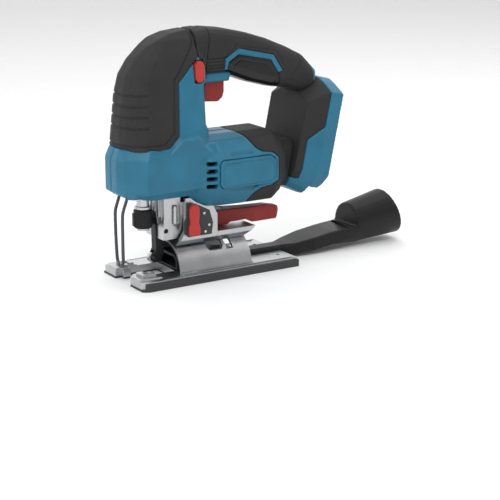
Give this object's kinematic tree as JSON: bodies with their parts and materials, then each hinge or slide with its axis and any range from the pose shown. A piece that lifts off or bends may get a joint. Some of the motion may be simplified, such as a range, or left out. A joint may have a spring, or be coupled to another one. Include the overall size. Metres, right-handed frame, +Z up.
{
  "type": "cordless jigsaw",
  "caption": "Cordless D-handle jigsaw with bevelling base plate, reciprocating plunger, tool-free blade clamp and dust adaptor.",
  "frame": {"origin": "middle of the sole's underside, on the bevel axis's line seen from above", "axes": "+X backwards towards the battery end, -X the cutting direction, +Y the tool's right side, +Z up from the work"},
  "size_m": [0.2976, 0.078, 0.2144],
  "materials": {
    "housing_blue": "moulded plastic, fine texture, satin",
    "grip_rubber": "soft over-moulded rubber, fine grain",
    "gloss_black": "smooth glossy plastic",
    "black_plastic": "moulded plastic, satin",
    "dark_plastic": "moulded plastic, matt",
    "red_plastic": "moulded plastic, satin",
    "cast_aluminium": "die cast, brushed on the flat faces",
    "bright_steel": "ground steel",
    "dark_steel": "blackened steel",
    "copper": "copper segments",
    "brass": "tinned brass and bronze",
    "circuit_board": "green solder mask"
  },
  "bodies": {
    "base": {"base_plate": "cast_aluminium", "sole_shoe": "dark_plastic", "dust_chute": "black_plastic"},
    "adaptor": {"dust_adaptor": "black_plastic"},
    "housing": {"left_housing": "housing_blue", "right_housing": "housing_blue", "palm_grip": "grip_rubber", "grip_band": "grip_rubber", "handle_grip": "grip_rubber", "handle_pad": "gloss_black", "handle_inlay_left": "housing_blue", "handle_inlay_right": "housing_blue", "motor_cap": "grip_rubber", "label_plate_left": "housing_blue", "label_plate_right": "housing_blue", "battery_foot": "grip_rubber", "battery_rails": "housing_blue", "terminal_block": "black_plastic", "contact_minus": "brass", "contact_plus": "brass", "gear_housing": "cast_aluminium", "saddle": "cast_aluminium", "selector_plate": "dark_plastic", "gear_axle": "dark_steel", "motor_can": "bright_steel", "magnet_left": "dark_steel", "magnet_right": "dark_steel", "brush_plate": "black_plastic", "front_bearing": "bright_steel", "rear_bearing": "bright_steel", "upper_bush": "brass", "lower_bush": "brass", "wire_guard": "dark_steel", "pendulum_pin": "dark_steel", "trigger_switch": "black_plastic", "controller_board": "circuit_board", "clamp_nut": "bright_steel", "housing_screw_1": "dark_steel", "housing_screw_2": "dark_steel", "housing_screw_3": "dark_steel", "housing_screw_4": "dark_steel", "housing_screw_5": "dark_steel"},
    "bevel_clamp": {"bevel_lever": "red_plastic", "clamp_screw": "dark_steel"},
    "plunger": {"plunger": "bright_steel", "blade_holder": "bright_steel", "collar_ring": "bright_steel"},
    "collar": {"clamp_collar": "black_plastic"},
    "rotor": {"rotor_shaft": "bright_steel", "rotor_core": "dark_steel", "commutator": "copper", "cooling_fan": "black_plastic"},
    "gear": {"drive_gear": "bright_steel"},
    "pendulum": {"pendulum_lever": "black_plastic", "roller_pin": "dark_steel"},
    "roller": {"guide_roller": "bright_steel"},
    "selector": {"selector_lever": "red_plastic", "selector_shaft": "dark_steel"},
    "trigger": {"trigger": "red_plastic"},
    "lock_button": {"lock_button": "red_plastic"}
  },
  "joints": [
    {"name": "base_tilt", "type": "hinge", "parent": "base", "child": "housing", "pos_m": [0, 0, 0.005], "axis": [-1, 0, 0], "range_deg": [-45, 45]},
    {"name": "adaptor_slide", "type": "slide", "parent": "base", "child": "adaptor", "axis": [1, 0, 0], "range_m": [0, 0.05]},
    {"name": "bevel_release", "type": "hinge", "parent": "housing", "child": "bevel_clamp", "pos_m": [0.016, 0, 0.046], "axis": [0, 0, -1], "range_deg": [0, 65]},
    {"name": "stroke", "type": "slide", "parent": "housing", "child": "plunger", "axis": [0, 0, 1], "range_m": [-0.0195, 0.0065]},
    {"name": "collar_turn", "type": "hinge", "parent": "plunger", "child": "collar", "pos_m": [-0.0573, 0, 0.054], "axis": [0, 0, 1], "range_deg": [0, 40], "stiffness_Nm_per_rad": 0.05, "springref_deg": -17.19},
    {"name": "rotor_spin", "type": "hinge", "parent": "housing", "child": "rotor", "pos_m": [0, 0, 0.092], "axis": [1, 0, 0], "continuous": true},
    {"name": "gear_spin", "type": "hinge", "parent": "housing", "child": "gear", "pos_m": [-0.046, 0, 0.1145], "axis": [1, 0, 0], "continuous": true},
    {"name": "pendulum_swing", "type": "hinge", "parent": "housing", "child": "pendulum", "pos_m": [-0.0435, 0, 0.044], "axis": [0, 1, 0], "range_deg": [0, 5]},
    {"name": "roller_spin", "type": "hinge", "parent": "pendulum", "child": "roller", "pos_m": [-0.0497, 0, 0.0185], "axis": [0, 1, 0], "continuous": true},
    {"name": "selector_turn", "type": "hinge", "parent": "housing", "child": "selector", "pos_m": [-0.0217, -0.02, 0.0435], "axis": [0, 1, 0], "range_deg": [0, 90]},
    {"name": "trigger_pull", "type": "slide", "parent": "housing", "child": "trigger", "axis": [0, 0, 1], "range_m": [0, 0.006], "stiffness_N_per_m": 600, "springref_m": -0.002},
    {"name": "lock_press", "type": "slide", "parent": "housing", "child": "lock_button", "axis": [0, 1, 0], "range_m": [0, 0.0035], "stiffness_N_per_m": 600, "springref_m": -0.001}
  ],
  "couplings": [
    {"joint": "gear_spin", "follows": "rotor_spin", "ratio": -0.25}
  ]
}
